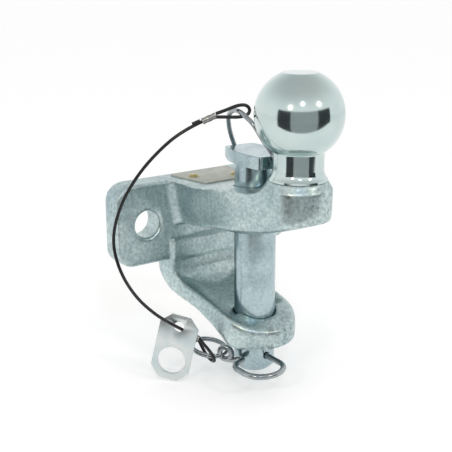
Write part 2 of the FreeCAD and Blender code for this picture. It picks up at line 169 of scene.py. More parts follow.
@dataclass(frozen=True)
class Plating:
    """A zinc-plated steel finish: two tints that drift into each other, grain and dulling.

    Args:
        name: What the finish is called.
        tint: The main colour.
        shade: The colour where the plating is thinner, and of the painted shade in hollows.
        edge: The colour on worn, bright edges.
        roughness: The usual roughness.
        spread: How far the roughness drifts either way.
        drift_mm: The size of the cloudy changes of tint.
        grain_mm: The size of the surface grain.
        grain: The height of the grain as bump strength.
        edge_wear: How much the edges brighten; when not 0, the hollows also get painted shade.
        scale_mm: The size of dark rough scale, or 0 for none.
        speckle: How much the grain darkens and lightens the colour.
        metallic: How metallic the surface is.
    """
    name: str
    tint: str
    shade: str
    edge: str
    roughness: float
    spread: float
    drift_mm: float
    grain_mm: float
    grain: float
    edge_wear: float = 0.0
    scale_mm: float = 0.0
    speckle: float = 0.0
    metallic: float = 1.0

    def material(self) -> bpy.types.Material:
        """Builds the material.

        Returns:
            The finished node material.
        """
        made = bpy.data.materials.new(self.name)
        made.use_nodes = True
        tree = made.node_tree
        shader = tree.nodes["Principled BSDF"]
        where = node(tree, "ShaderNodeTexCoord").outputs["Object"]
        cloud = node(tree, "ShaderNodeTexNoise", {"Vector": where},
                     {"Scale": per_metre(self.drift_mm), "Detail": 4.0, "Roughness": 0.6})
        grain = node(tree, "ShaderNodeTexNoise", {"Vector": where},
                     {"Scale": per_metre(self.grain_mm), "Detail": 3.0, "Roughness": 0.65})
        tint = node(tree, "ShaderNodeMix", {"Factor": self._stretch(tree, cloud)},
                    {"A": linear(self.tint), "B": linear(self.shade)}, data_type="RGBA")
        colour = tint.outputs["Result"]
        if self.edge_wear:
            # Painted shade: hollows darken towards the shade colour, up to the share in the band.
            bend = node(tree, "ShaderNodeNewGeometry").outputs["Pointiness"]
            hollow_shade = node(tree, "ShaderNodeMapRange", {"Value": bend}, HOLLOW_SHADE_BAND)
            hollow_shaded = node(tree, "ShaderNodeMix", {"Factor": hollow_shade.outputs[0], "A": colour},
                        {"B": linear(self.shade)}, data_type="RGBA")
            proud = node(tree, "ShaderNodeMapRange", {"Value": bend},
                         {"From Min": WORN_FROM, "From Max": WORN_TO, "To Min": 0.0,
                          "To Max": self.edge_wear})
            colour = node(tree, "ShaderNodeMix",
                          {"Factor": proud.outputs[0], "A": hollow_shaded.outputs["Result"]},
                          {"B": linear(self.edge)}, data_type="RGBA").outputs["Result"]
        rough = node(tree, "ShaderNodeMapRange", {"Value": cloud.outputs["Fac"]},
                     {"From Min": 0.3, "From Max": 0.7, "To Min": self.roughness - self.spread,
                      "To Max": self.roughness + self.spread}).outputs[0]
        height = grain.outputs["Fac"]
        if self.speckle:
            sand = node(tree, "ShaderNodeMapRange", {"Value": height},
                        {"From Min": SAND_LOW, "From Max": SAND_HIGH,
                         "To Min": 1.0 - self.speckle, "To Max": 1.0 + self.speckle})
            colour = node(tree, "ShaderNodeMix", {"A": colour, "B": sand.outputs[0]},
                          {"Factor": 1.0}, data_type="RGBA",
                          blend_type="MULTIPLY").outputs["Result"]
        if self.scale_mm:
            colour, rough = self._mill_scale(tree, where, colour, rough)
        bump = node(tree, "ShaderNodeBump", {"Height": height},
                    {"Strength": self.grain, "Distance": GRAIN_RELIEF_MM * MM})
        tree.links.new(colour, shader.inputs["Base Color"])
        tree.links.new(rough, shader.inputs["Roughness"])
        tree.links.new(bump.outputs["Normal"], shader.inputs["Normal"])
        shader.inputs["Metallic"].default_value = self.metallic
        return made

    def _stretch(self, tree: bpy.types.NodeTree, noise: bpy.types.Node
                 ) -> bpy.types.NodeSocket:
        """The cloudy noise spread out to a share from 0 to 1."""
        return node(tree, "ShaderNodeMapRange", {"Value": noise.outputs["Fac"]},
                    {"From Min": CLOUD_LOW, "From Max": CLOUD_HIGH}).outputs[0]

    def _mill_scale(self, tree: bpy.types.NodeTree, where: bpy.types.NodeSocket,
                    colour: bpy.types.NodeSocket,
                    rough: bpy.types.NodeSocket) -> tuple[bpy.types.NodeSocket,
                                                          bpy.types.NodeSocket]:
        """Adds the dark pitted scale left on the forging's two outermost ends.

        Args:
            tree: The material's nodes.
            where: Object coordinates.
            colour: The colour so far.
            rough: The roughness so far.

        Returns:
            The new colour and roughness.
        """
        place = node(tree, "ShaderNodeSeparateXYZ", {"Vector": where})
        nose = node(tree, "ShaderNodeMapRange", {"Value": place.outputs["X"]},
                    {"From Min": NOSE_SCALE_MM[0] * MM, "From Max": NOSE_SCALE_MM[1] * MM})
        eye = node(tree, "ShaderNodeMapRange", {"Value": place.outputs["X"]},
                   {"From Min": EYE_SCALE_MM[0] * MM, "From Max": EYE_SCALE_MM[1] * MM})
        low = node(tree, "ShaderNodeMath", {0: place.outputs["Z"]}, {1: EYE_BELOW_MM * MM},
                   operation="LESS_THAN")
        eye_low = node(tree, "ShaderNodeMath", {0: eye.outputs[0], 1: low.outputs[0]},
                       operation="MULTIPLY")
        ends = node(tree, "ShaderNodeMath", {0: nose.outputs[0], 1: eye_low.outputs[0]},
                    operation="MAXIMUM")
        pits = node(tree, "ShaderNodeTexNoise", {"Vector": where},
                    {"Scale": per_metre(self.scale_mm), "Detail": 5.0, "Roughness": 0.75})
        dark = node(tree, "ShaderNodeMapRange", {"Value": pits.outputs["Fac"]}, PIT_BAND)
        amount = node(tree, "ShaderNodeMath", {0: dark.outputs[0], 1: ends.outputs[0]},
                      operation="MULTIPLY")
        scaled = node(tree, "ShaderNodeMix", {"Factor": amount.outputs[0], "A": colour},
                      {"B": linear(PIT_COLOUR)}, data_type="RGBA")
        dull = node(tree, "ShaderNodeMath", {0: amount.outputs[0], 2: rough},
                    {1: PIT_DULLING},
                    operation="MULTIPLY_ADD")
        return scaled.outputs["Result"], dull.outputs[0]


# Blue-passivated zinc over a drop forging: pale blue-green and satin, with a sandy grain and
# dark rough scale on its ends. The real grain is under 0.5 mm; it is drawn near 2 mm, and the
# scale at 3 mm, because finer would not show.
# Its shade colour also serves as the painted shade in the forging's hollows.
FORGED_ZINC = Plating("drop_forged_zinc", "#BCCCCB", "#A3B6BA", "#DEE5E2", 0.36, 0.07, 22.0, 1.9,
                      0.6, edge_wear=0.75, scale_mm=3.0, speckle=0.20)
# The same zinc over a turned ball: almost a mirror, faintly warm, with no grain to see.
BALL_ZINC = Plating("turned_ball_zinc", "#C8D6D3", "#BACBCA", "#DDDCC0", 0.12, 0.02, 30.0, 0.7,
                    0.03)
# Zinc over a turned bar: bluer than the forging, with smooth broad reflections. Its faint
# grain is drawn at 1.8 mm, coarser than the real one, so that it shows.
PIN_ZINC = Plating("turned_pin_zinc", "#B0C2C6", "#97ABB1", "#CFD8DA", 0.21, 0.05, 16.0, 1.8,
                   0.22, speckle=0.10)
# Bright zinc over drawn spring wire: crisp narrow highlights along the wire.
WIRE_ZINC = Plating("spring_wire_zinc", "#A9AFB1", "#868E93", "#D0D0D0", 0.20, 0.04, 6.0, 0.5,
                    0.10)
# Satin zinc over pressed sheet, with the faint pink and blue of thin passivation.
TAG_ZINC = Plating("pressed_tag_zinc", "#D6DAD8", "#C2D0D2", "#DEDADA", 0.30, 0.05, 14.0, 0.5,
                   0.12)
# A pressed aluminium sleeve: neutral silver, lightly dulled by the crimping tool.
CRIMPED_SLEEVE = Plating("crimped_aluminium", "#A9A9A6", "#8C8C89", "#D6D6D4", 0.28, 0.05, 2.5,
                         0.4, 0.15)
# An anodised label plate with its print left out: flat, matte and warm grey. Its grain is
# drawn at 1.6 mm, coarser than the real one, so that it shows.
LABEL_PLATE = Plating("matte_label_plate", "#B9BCB2", "#A9ADA3", "#C8CAC1", 0.48, 0.06, 9.0,
                      1.6, 0.25, metallic=0.6)
# Plain domed rivets with a pale brassy look.
RIVET_BRASS = Plating("domed_rivet_brass", "#B9AE7E", "#988B5C", "#DCD2A6", 0.26, 0.05, 3.0, 0.4,
                      0.12)


@dataclass(frozen=True)
class CableSleeve:
    """Glossy black plastic over wire rope: the strands show faintly through the sleeve."""
    name: str = "black_cable_sleeve"
    colour: str = "#0E0F11"
    roughness: float = 0.22
    strand_mm: float = 0.9

    def material(self) -> bpy.types.Material:
        """Builds the material.

        Returns:
            The finished node material.
        """
        made = bpy.data.materials.new(self.name)
        made.use_nodes = True
        tree = made.node_tree
        shader = tree.nodes["Principled BSDF"]
        where = node(tree, "ShaderNodeTexCoord").outputs["Object"]
        strands = node(tree, "ShaderNodeTexNoise", {"Vector": where},
                       {"Scale": per_metre(self.strand_mm), "Detail": 2.0})
        rough = node(tree, "ShaderNodeMapRange", {"Value": strands.outputs["Fac"]},
                     {"To Min": self.roughness - 0.06, "To Max": self.roughness + 0.10})
        bump = node(tree, "ShaderNodeBump", {"Height": strands.outputs["Fac"]},
                    {"Strength": 0.25, "Distance": STRAND_RELIEF_MM * MM})
        shader.inputs["Base Color"].default_value = linear(self.colour)
        tree.links.new(rough.outputs[0], shader.inputs["Roughness"])
        tree.links.new(bump.outputs["Normal"], shader.inputs["Normal"])
        return made


class Finish(Enum):
    """Every finish on the object, each built once."""
    FORGING = FORGED_ZINC
    BALL = BALL_ZINC
    PIN = PIN_ZINC
    WIRE = WIRE_ZINC
    TAG = TAG_ZINC
    SLEEVE = CRIMPED_SLEEVE
    LABEL = LABEL_PLATE
    RIVET = RIVET_BRASS
    CABLE = CableSleeve()

    def material(self) -> bpy.types.Material:
        """The finish's material, made the first time it is asked for."""
        return bpy.data.materials.get(self.value.name) or self.value.material()


class Body(Enum):
    """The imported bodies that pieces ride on."""
    FORGING = "forging"
    PIN = "pin"
    BAIL = "bail"
    CLIP = "clip"
    RING = "ring"
    TAG = "tag"


# ---- small building helpers -----------------------------------------------------------------
def piece_from(bm: bmesh.types.BMesh, name: str, finish: Finish, smooth_deg: float = 35.0
               ) -> bpy.types.Object:
    """Turns a bmesh in metres and in place into a finished object.

    Args:
        bm: The shape; it is freed here.
        name: The piece's name.
        finish: What it is made of.
        smooth_deg: Faces meeting at less than this angle shade as one surface.

    Returns:
        The linked object, at the origin.
    """
    mesh = bpy.data.meshes.new(name)
    bm.to_mesh(mesh)
    bm.free()
    mesh.shade_smooth()
    mesh.set_sharp_from_angle(angle=math.radians(smooth_deg))
    mesh.materials.append(finish.material())
    made = bpy.data.objects.new(name, mesh)
    bpy.context.scene.collection.objects.link(made)
    return made


def spun(profile: list[tuple[float, float]], steps: int = 48) -> bmesh.types.BMesh:
    """Spins a profile round the Z axis into a closed shape.

    Args:
        profile: Radius and height pairs in millimetres, from the axis to the axis.
        steps: How many steps make the full turn.

    Returns:
        The spun shape in metres, about the Z axis.
    """
    bm = bmesh.new()
    verts = [bm.verts.new((r * MM, 0, z * MM)) for r, z in profile]
    edges = [bm.edges.new(pair) for pair in zip(verts, verts[1:])]
    bmesh.ops.spin(bm, geom=verts + edges, cent=(0, 0, 0), axis=(0, 0, 1),
                   angle=math.tau, steps=steps, use_merge=True)
    bmesh.ops.remove_doubles(bm, verts=bm.verts, dist=SPUN_WELD_MM * MM)
    bmesh.ops.recalc_face_normals(bm, faces=bm.faces)
    return bm


def along(start: Vector, end: Vector) -> Matrix:
    """The placing that takes the Z axis from the origin to the line from start to end."""
    turn = (end - start).to_track_quat("Z", "Y").to_matrix().to_4x4()
    return Matrix.Translation(start) @ turn


def ramp(value: float, low: float, high: float) -> float:
    """The share from 0 at low to 1 at high, held at both ends."""
    return max(0.0, min(1.0, (value - low) / (high - low)))


def dress(frame: dict, name: str, finish: Finish) -> None:
    """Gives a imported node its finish.

    Args:
        name: The node's name.
        finish: The finish it takes.
    """
    target = frame["nodes"][name]
    if not target.material_slots:
        target.data.materials.append(None)
    for held in target.material_slots:
        held.link = "OBJECT"
        held.material = finish.material()


# ---- the studio -----------------------------------------------------------------------------
@dataclass
class Studio:
    """Camera, pale floor, white surround, a dark card to reflect, and small soft lights."""
    camera_place: Point = (494.7, -326.3, 162.5)
    camera_turn_deg: float = 54.64
    camera_drop_deg: float = 16.44
    lens_mm: float = 74.9
    floor_size: float = 14.0
    floor_glow: float = 0.19
    card_reach_mm: float = 230.0
    card_away_mm: float = 800.0
    card_top_mm: float = 300.0
    card_left_deg: float = 60.0
    card_right_deg: float = 76.0
    card_lift_mm: float = 1.0
    card_steps: int = 60
    pale_from_deg: float = -26.0
    pale_to_deg: float = 42.0
    sky_light: float = 1.05
    sky_overhead: float = 0.66
    floor_gap_mm: float = 0.6
    ball_centre: Point = (104.0, 0.0, 76.0)

    def camera(self) -> None:
        """Makes the camera and sets it as the scene's own."""
        data = bpy.data.cameras.new("camera")
        data.lens, data.sensor_width = self.lens_mm, 36.0
        data.clip_start, data.clip_end = 0.01, 50.0
        made = bpy.data.objects.new("camera", data)
        made.location = Vector(self.camera_place) * MM
        made.rotation_euler = (math.radians(90 - self.camera_drop_deg), 0,
                               math.radians(self.camera_turn_deg))
        bpy.context.scene.collection.objects.link(made)
        bpy.context.scene.camera = made

    def way(self, sideways_deg: float, rise_deg: float) -> Vector:
        """A direction from the ball, sideways and up from the direction of the camera.

        Args:
            sideways_deg: Degrees to the camera's right.
            rise_deg: Degrees above the horizon.

        Returns:
            The unit direction.
        """
        turn = math.radians(self.camera_turn_deg - 90 + sideways_deg)
        rise = math.radians(rise_deg)
        return Vector((math.cos(turn) * math.cos(rise), math.sin(turn) * math.cos(rise),
                       math.sin(rise)))

    def paint(self, name: str, colour: str, glow: float = 0.0) -> bpy.types.Material:
        """A plain matt paint for the stage.

        Args:
            name: The paint's name.
            colour: Its colour.
            glow: How strongly it shines by itself.

        Returns:
            The material.
        """
        made = bpy.data.materials.new(name)
        made.use_nodes = True
        shader = made.node_tree.nodes["Principled BSDF"]
        shader.inputs["Base Color"].default_value = linear(colour)
        shader.inputs["Roughness"].default_value = 0.9
        shader.inputs["Specular IOR Level"].default_value = 0.1
        shader.inputs["Emission Color"].default_value = linear(colour)
        shader.inputs["Emission Strength"].default_value = glow
        return made

    def floor_height(self) -> float:
        """The floor's height in metres, just under the object's lowest point."""
        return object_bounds()[0].z - self.floor_gap_mm * MM

    def floor(self) -> None:
        """Makes the pale floor."""
        bm = bmesh.new()
        bmesh.ops.create_grid(bm, x_segments=4, y_segments=4, size=self.floor_size / 2)
        bmesh.ops.translate(bm, verts=bm.verts, vec=(0, 0, self.floor_height()))
        mesh = bpy.data.meshes.new("floor")
        bm.to_mesh(mesh)
        bm.free()
        mesh.materials.append(self.paint("pale_floor", "#FBFBFB", self.floor_glow))
        made = bpy.data.objects.new("floor", mesh)
        bpy.context.scene.collection.objects.link(made)
        made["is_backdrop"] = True

    def dark_card(self) -> None:
        """Stands a bent dark card out of view, for the polished parts to reflect.

        It lies on the floor from a straight edge at card_reach_mm, stands up at card_away_mm,
        and is darker to both sides of its middle. It is there for the shine alone, so it is
        not seen and throws no shade on the floor.
        """
        low = self.floor_height() + self.card_lift_mm * MM
        bm = bmesh.new()
        corners = [(self.card_reach_mm * MM, low), (self.card_away_mm * MM, low),
                   (self.card_away_mm * MM, self.card_top_mm * MM)]
        verts = [bm.verts.new((r, 0, z)) for r, z in corners]
        edges = [bm.edges.new(pair) for pair in zip(verts, verts[1:])]
        sweep = self.card_right_deg + self.card_left_deg
        bmesh.ops.spin(bm, geom=verts + edges, cent=(0, 0, 0), axis=(0, 0, 1),
                       angle=math.radians(sweep), steps=self.card_steps, use_merge=False)
        widest = self.card_away_mm / self.card_reach_mm - 0.1
        for vert in bm.verts:
            if vert.co.to_2d().length < (self.card_reach_mm + 1) * MM:
                turned = math.atan2(vert.co.y, vert.co.x) - math.radians(self.card_left_deg)
                vert.co.xy = vert.co.xy * min(1 / math.cos(turned), widest)
        for face in bm.faces:
            centre = face.calc_center_median()
            turned = math.degrees(math.atan2(centre.y, centre.x)) - self.card_left_deg
            face.material_index = 0 if self.pale_from_deg < turned < self.pale_to_deg else 1
        bmesh.ops.rotate(bm, verts=bm.verts, matrix=Matrix.Rotation(math.radians(
            self.camera_turn_deg - 90 - self.card_left_deg), 3, "Z"))
        bmesh.ops.translate(bm, verts=bm.verts,
                            vec=(self.ball_centre[0] * MM, self.ball_centre[1] * MM, 0))
        mesh = bpy.data.meshes.new("dark_card")
        bm.to_mesh(mesh)
        bm.free()
        mesh.materials.append(self.paint("grey_card", "#A6AAAC"))
        mesh.materials.append(self.paint("black_card", "#3A3D3F"))
        made = bpy.data.objects.new("dark_card", mesh)
        bpy.context.scene.collection.objects.link(made)
        made.visible_camera = False
        made.visible_diffuse = made.visible_shadow = False
        made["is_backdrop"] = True

    def sky(self) -> None:
        """Surrounds the object with white light that dims a little overhead."""
        world = bpy.data.worlds.new("studio")
        bpy.context.scene.world = world
        world.use_nodes = True
        tree = world.node_tree
        back = tree.nodes["Background"]
        way = node(tree, "ShaderNodeTexCoord").outputs["Generated"]
        height = node(tree, "ShaderNodeSeparateXYZ", {"Vector": way}).outputs["Z"]
        light = node(tree, "ShaderNodeMapRange", {"Value": height},
                     {"From Min": 0.25, "From Max": 1.0, "To Min": self.sky_light,
                      "To Max": self.sky_overhead}, interpolation_type="SMOOTHSTEP")
        tree.links.new(light.outputs[0], back.inputs["Strength"])
        back.inputs["Color"].default_value = linear("#FFFFFF")

    def lamp(self, name: str, sideways_deg: float, rise_deg: float, away_mm: float,
             size_mm: float, watts: float, colour: str = "#FFFFFF") -> None:
        """Hangs one soft round light that faces the ball.

        Args:
            name: The light's name.
            sideways_deg: Degrees to the camera's right, seen from the ball.
            rise_deg: Degrees above the horizon.
            away_mm: How far from the ball it hangs.
            size_mm: Its diameter.
            watts: Its power.
            colour: Its colour.
        """
        data = bpy.data.lights.new(name, "AREA")
        data.shape = "DISK"
        data.energy, data.size = watts, size_mm * MM
        data.color = linear(colour)[:3]
        made = bpy.data.objects.new(name, data)
        way = self.way(sideways_deg, rise_deg)
        made.location = (Vector(self.ball_centre) + way * away_mm) * MM
        made.rotation_euler = (-way).to_track_quat("-Z", "Y").to_euler()
        bpy.context.scene.collection.objects.link(made)

    def lights(self) -> None:
        """Hangs the studio's lights."""
        self.lamp("warm_spot_left", -29, 25, 1000, 110, 1.0, "#FFEFD6")
        self.lamp("cool_spot", 4, 35, 1000, 100, 0.9, "#DDE8FF")
        self.lamp("warm_spot_right", 50, 29, 1000, 110, 1.0, "#FFF3E0")

    def build(self) -> None:
        """Makes everything but the camera, once the object is whole."""
        self.floor()
        self.dark_card()
        self.sky()
        self.lights()
        bpy.context.scene.view_settings.view_transform = "Standard"


# ---- the lanyard ----------------------------------------------------------------------------
@dataclass
class Cable:
    """One stretch of the lanyard's cable along its own route.

    Args:
        name: The piece's name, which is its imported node's name with "_cable" after it.
        node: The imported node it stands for.
        points: The route's points in millimetres, the spline's control points.
        diameter_mm: The cable's thickness.
    """
    name: str
    node: str
    points: list[Point]
    diameter_mm: float = 2.0

    def curve(self, bevelled: bool) -> bpy.types.Object:
        """The route as one smooth spline.

        Args:
            bevelled: Whether the spline gets the cable's thickness.

        Returns:
            The curve object, linked to the scene.
        """
        data = bpy.data.curves.new(self.name, "CURVE")
        data.dimensions = "3D"
        data.resolution_u = 12
        spline = data.splines.new("NURBS")
        spline.points.add(len(self.points) - 1)
        for held, place in zip(spline.points, self.points):
            held.co = (*[c * MM for c in place], 1.0)
        spline.order_u = 3
        spline.use_endpoint_u = True
        if bevelled:
            data.bevel_depth = self.diameter_mm * MM / 2
            data.bevel_resolution = 5
            data.use_fill_caps = True
            data.materials.append(Finish.CABLE.material())
        made = bpy.data.objects.new(self.name, data)
        bpy.context.scene.collection.objects.link(made)
        return made

    def sampled(self, bevelled: bool) -> bpy.types.Mesh:
        """The route's curve read back as a mesh.

        Args:
            bevelled: Whether the mesh is the cable's tube, not only its line.

        Returns:
            The mesh; the curve it came from is gone.
        """
        source = self.curve(bevelled)
        bpy.context.view_layer.update()
        mesh = bpy.data.meshes.new_from_object(
            source.evaluated_get(bpy.context.evaluated_depsgraph_get()))
        bpy.data.objects.remove(source)
        return mesh

    def path(self) -> list[Vector]:
        """The points down the middle of the cable."""
        return [v.co.copy() for v in self.sampled(False).vertices]

    def length(self) -> float:
        """Adds up the route's own length.

        Returns:
            The cable's length in metres.
        """
        line = self.path()
        return sum((b - a).length for a, b in zip(line, line[1:]))

    def riding(self, body: Body, with_pieces: list[bpy.types.Object]
               ) -> bpy.types.Object:
        """The stretch as a curve that moves with one body.

        Args:
            body: The body it rides on.
            with_pieces: The pieces on it; not used.

        Returns:
            The cord's curve, riding on the body.
        """
        made = self.curve(True)
        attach(made, body.value)
        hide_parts(self.node)
        self.length()
        return made

    def bending(self
                ) -> bpy.types.Object:
        """The stretch as a tube fixed where it is made, on no body.

        Returns:
            The tube.
        """
        line = self.path()
        made = bpy.data.objects.new(self.name, self.sampled(True))
        made.data.shade_smooth()
        bpy.context.scene.collection.objects.link(made)
        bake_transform(made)
        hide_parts(self.node)
        self.length()
        return made


@dataclass
class Ferrule:
    """A sleeve pressed round the cable's two strands, with the tool's bites along it."""
    name: str
    node: str
    body: Body
    start_mm: Point
    end_mm: Point
    radius: float = 1.9
    lip: float = 0.3
    lip_ease: float = 0.08
    bites: int = 2
    bite_depth: float = 0.12

    def profile(self, length: float) -> list[tuple[float, float]]:
        """Radius and height down the sleeve, from end to end.

        Args:
            length: The sleeve's length in millimetres.

        Returns:
            The profile's points.
        """
        outer, lip, ease = self.radius, self.lip, self.lip_ease
        points = [(0.0, 0.0), (outer - lip, 0.0), (outer - ease, ease), (outer, lip)]
        step = (length - 2 * lip) / self.bites
        for i in range(self.bites):
            base = lip + i * step
            points += [(outer, base + 0.18 * step), (outer - self.bite_depth, base + 0.36 * step),
                       (outer - self.bite_depth, base + 0.64 * step), (outer, base + 0.82 * step)]
        return points + [(outer, length - lip), (outer - ease, length - ease),
                         (outer - lip, length), (0.0, length)]

    def build(self) -> bpy.types.Object:
        """Makes the sleeve in its place.

        Returns:
            The finished piece.
        """
        start, end = Vector(self.start_mm) * MM, Vector(self.end_mm) * MM
        bm = spun(self.profile((end - start).length / MM), steps=32)
        bmesh.ops.transform(bm, matrix=along(start, end), verts=bm.verts)
        made = piece_from(bm, self.name, Finish.SLEEVE)
        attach(made, self.body.value)
        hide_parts(self.node)
        return made


@dataclass
class CableTail:
    """The cut end of the cable that shows beside the run where it leaves the upper sleeve."""
    start_mm: Point = (53.6, -31.4, 68.6)
    end_mm: Point = (51.4, -35.4, 66.6)
    radius: float = 0.95
    cut_ease: float = 0.2

    def build(self) -> bpy.types.Object:
        """Makes the tail.

        Returns:
            The finished piece.
        """
        start, end = Vector(self.start_mm) * MM, Vector(self.end_mm) * MM
        length, r, ease = (end - start).length / MM, self.radius, self.cut_ease
        bm = spun([(0.0, 0.0), (r, 0.0), (r, length - ease), (r - ease, length),
                   (0.0, length)], steps=20)
        bmesh.ops.transform(bm, matrix=along(start, end), verts=bm.verts)
        made = piece_from(bm, "cable_tail", Finish.CABLE)
        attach(made, Body.BAIL.value)
        return made


@dataclass
class Lanyard:
    """The black cable from the bail to the clip, with its two pressed eyes."""
    upper_eye: list[Point] = field(default_factory=lambda: [
        (57.6, -23.3, 72.3), (61.0, -18.6, 74.3), (64.5, -13.4, 77.0), (67.6, -9.2, 77.5),
        (69.3, -7.3, 74.6), (68.6, -9.0, 71.4), (65.6, -13.1, 70.3), (61.7, -18.5, 70.5),
        (57.9, -23.5, 70.4)])
    upper_run: list[Point] = field(default_factory=lambda: [
        (53.8, -30.1, 67.9), (49.4, -37.8, 63.9), (42.4, -48.0, 55.0), (32.8, -60.5, 38.0),
        (25.0, -70.0, 17.0), (23.4, -72.1, 5.3)])
    lower_run: list[Point] = field(default_factory=lambda: [
        (23.4, -72.1, 5.3), (22.1, -73.8, -4.2), (26.8, -71.8, -22.0), (35.5, -66.5, -36.5),
        (43.6, -58.0, -47.0), (49.6, -48.9, -54.0), (48.4, -41.6, -59.1),
        (50.2, -37.8, -62.0)])
    lower_eye: list[Point] = field(default_factory=lambda: [
        (53.2, -33.1, -65.0), (56.9, -32.6, -67.3), (61.5, -32.0, -69.6), (65.2, -31.1, -72.6),
        (65.2, -29.7, -77.0), (60.7, -29.4, -77.9), (56.9, -30.6, -75.0), (54.0, -32.0, -69.9),
        (51.7, -32.7, -66.3)])

    @staticmethod
    def root(eye: list[Point]) -> Point:
        """The point half-way between an eye's two strands where they enter the sleeve."""
        return tuple((a + b) / 2 for a, b in zip(eye[0], eye[-1]))

    def build(self) -> None:
        """Makes the four stretches of cable and the two sleeves."""
        upper = Ferrule("upper_sleeve", "upper_ferrule", Body.BAIL, self.upper_run[0],
                        self.root(self.upper_eye)).build()
        lower = Ferrule("lower_sleeve", "lower_ferrule", Body.CLIP, self.lower_run[-1],
                        self.root(self.lower_eye)).build()
        Cable("upper_eye_cable", "lanyard_upper_eye", self.upper_eye).riding(
            Body.BAIL, [upper, CableTail().build()])
        Cable("lower_eye_cable", "lanyard_lower_eye", self.lower_eye).riding(
            Body.CLIP, [lower])
        Cable("upper_run_cable", "lanyard_upper_run", self.upper_run[::-1]).bending(
            )
        Cable("lower_run_cable", "lanyard_lower_run", self.lower_run).bending(
            )
        LOG.info("lanyard: cable in four stretches, two sleeves")


# ---- the forging ----------------------------------------------------------------------------
@dataclass
class Forging:
    """Flange, ball arm and lower jaw as the one soft-edged forging that they are."""
    grid_mm: float = 0.95
    rounding_passes: int = 7
    bulk_passes: int = 60
    nose_x: float = 92.0
    nose_top: float = 24.0
    jaw_top: float = -30.0
    pin_centre: tuple[float, float] = (65.0, 0.0)
    pin_clear: float = 17.5
    nodes: tuple[str, ...] = ("mounting_flange", "ball_arm", "lower_jaw")

    def keys(self) -> list[tuple[Point, Point]]:
        """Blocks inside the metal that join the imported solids, as low and high corners."""
        return [((3.0, -20.0, 2.0), (20.0, 20.0, 23.0)),
                ((2.0, -23.0, -31.0), (15.0, 23.0, -22.0))]

    def roundness(self, place: Vector) -> float:
        """How strongly a place on the skin is rounded over: the nose and the jaw's outside.

        Args:
            place: The place in millimetres.

        Returns:
            A share from 0 to 1.
        """
        off_pin = math.hypot(place.x - self.pin_centre[0], place.y - self.pin_centre[1])
        away = ramp(off_pin, self.pin_clear, self.pin_clear + 5.0)
        nose = ramp(place.x, 40.0, self.nose_x) * ramp(self.nose_top - place.z, 0.0, 6.0)
        nose *= ramp(place.z, -8.0, -2.0)
        jaw = ramp(place.x, 22.0, 40.0) * ramp(self.jaw_top - place.z, 0.0, 5.0)
        return away * max(nose, jaw)

    def merged(self, frame: dict) -> bmesh.types.BMesh:
        """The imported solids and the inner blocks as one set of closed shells.


        Returns:
            The shells.
        """
        bm = bmesh.new()
        for name in self.nodes:
            bm.from_mesh(frame["nodes"][name].data)
        bmesh.ops.remove_doubles(bm, verts=bm.verts, dist=WELD_MM * MM)
        for low, high in self.keys():
            size = [b - a for a, b in zip(low, high)]
            centre = [(a + b) / 2 for a, b in zip(low, high)]
            place = Matrix.Translation(Vector(centre) * MM) @ Matrix.Diagonal(
                (*[s * MM for s in size], 1.0))
            bmesh.ops.create_cube(bm, size=1.0, matrix=place)
        return bm

    def build(self, frame: dict) -> bpy.types.Object:
        """Makes the skin.


        Returns:
            The finished piece.
        """
        rough = piece_from(self.merged(frame), "forging_blank", Finish.FORGING)
        remesh = rough.modifiers.new("one_skin", "REMESH")
        remesh.mode, remesh.voxel_size = "VOXEL", self.grid_mm * MM
        bpy.context.view_layer.update()
        mesh = bpy.data.meshes.new_from_object(
            rough.evaluated_get(bpy.context.evaluated_depsgraph_get()))
        bpy.data.objects.remove(rough)
        bm = bmesh.new()
        bm.from_mesh(mesh)
        bpy.data.meshes.remove(mesh)
        made = piece_from(bm, "forging_skin", Finish.FORGING, smooth_deg=180.0)
        group = made.vertex_groups.new(name="round_bulk")
        for vert in made.data.vertices:
            share = self.roundness(vert.co / MM)
            if share > 0.01:
                group.add([vert.index], share, "REPLACE")
        soften = made.modifiers.new("forged_edges", "SMOOTH")
        soften.factor, soften.iterations = 0.5, self.rounding_passes
        bulk = made.modifiers.new("rounded_ends", "SMOOTH")
        bulk.factor, bulk.iterations, bulk.vertex_group = 0.5, self.bulk_passes, group.name
        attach(made, Body.FORGING.value)
        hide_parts(*self.nodes)
        LOG.info("forging skin: %d faces", len(made.data.polygons))
        return made


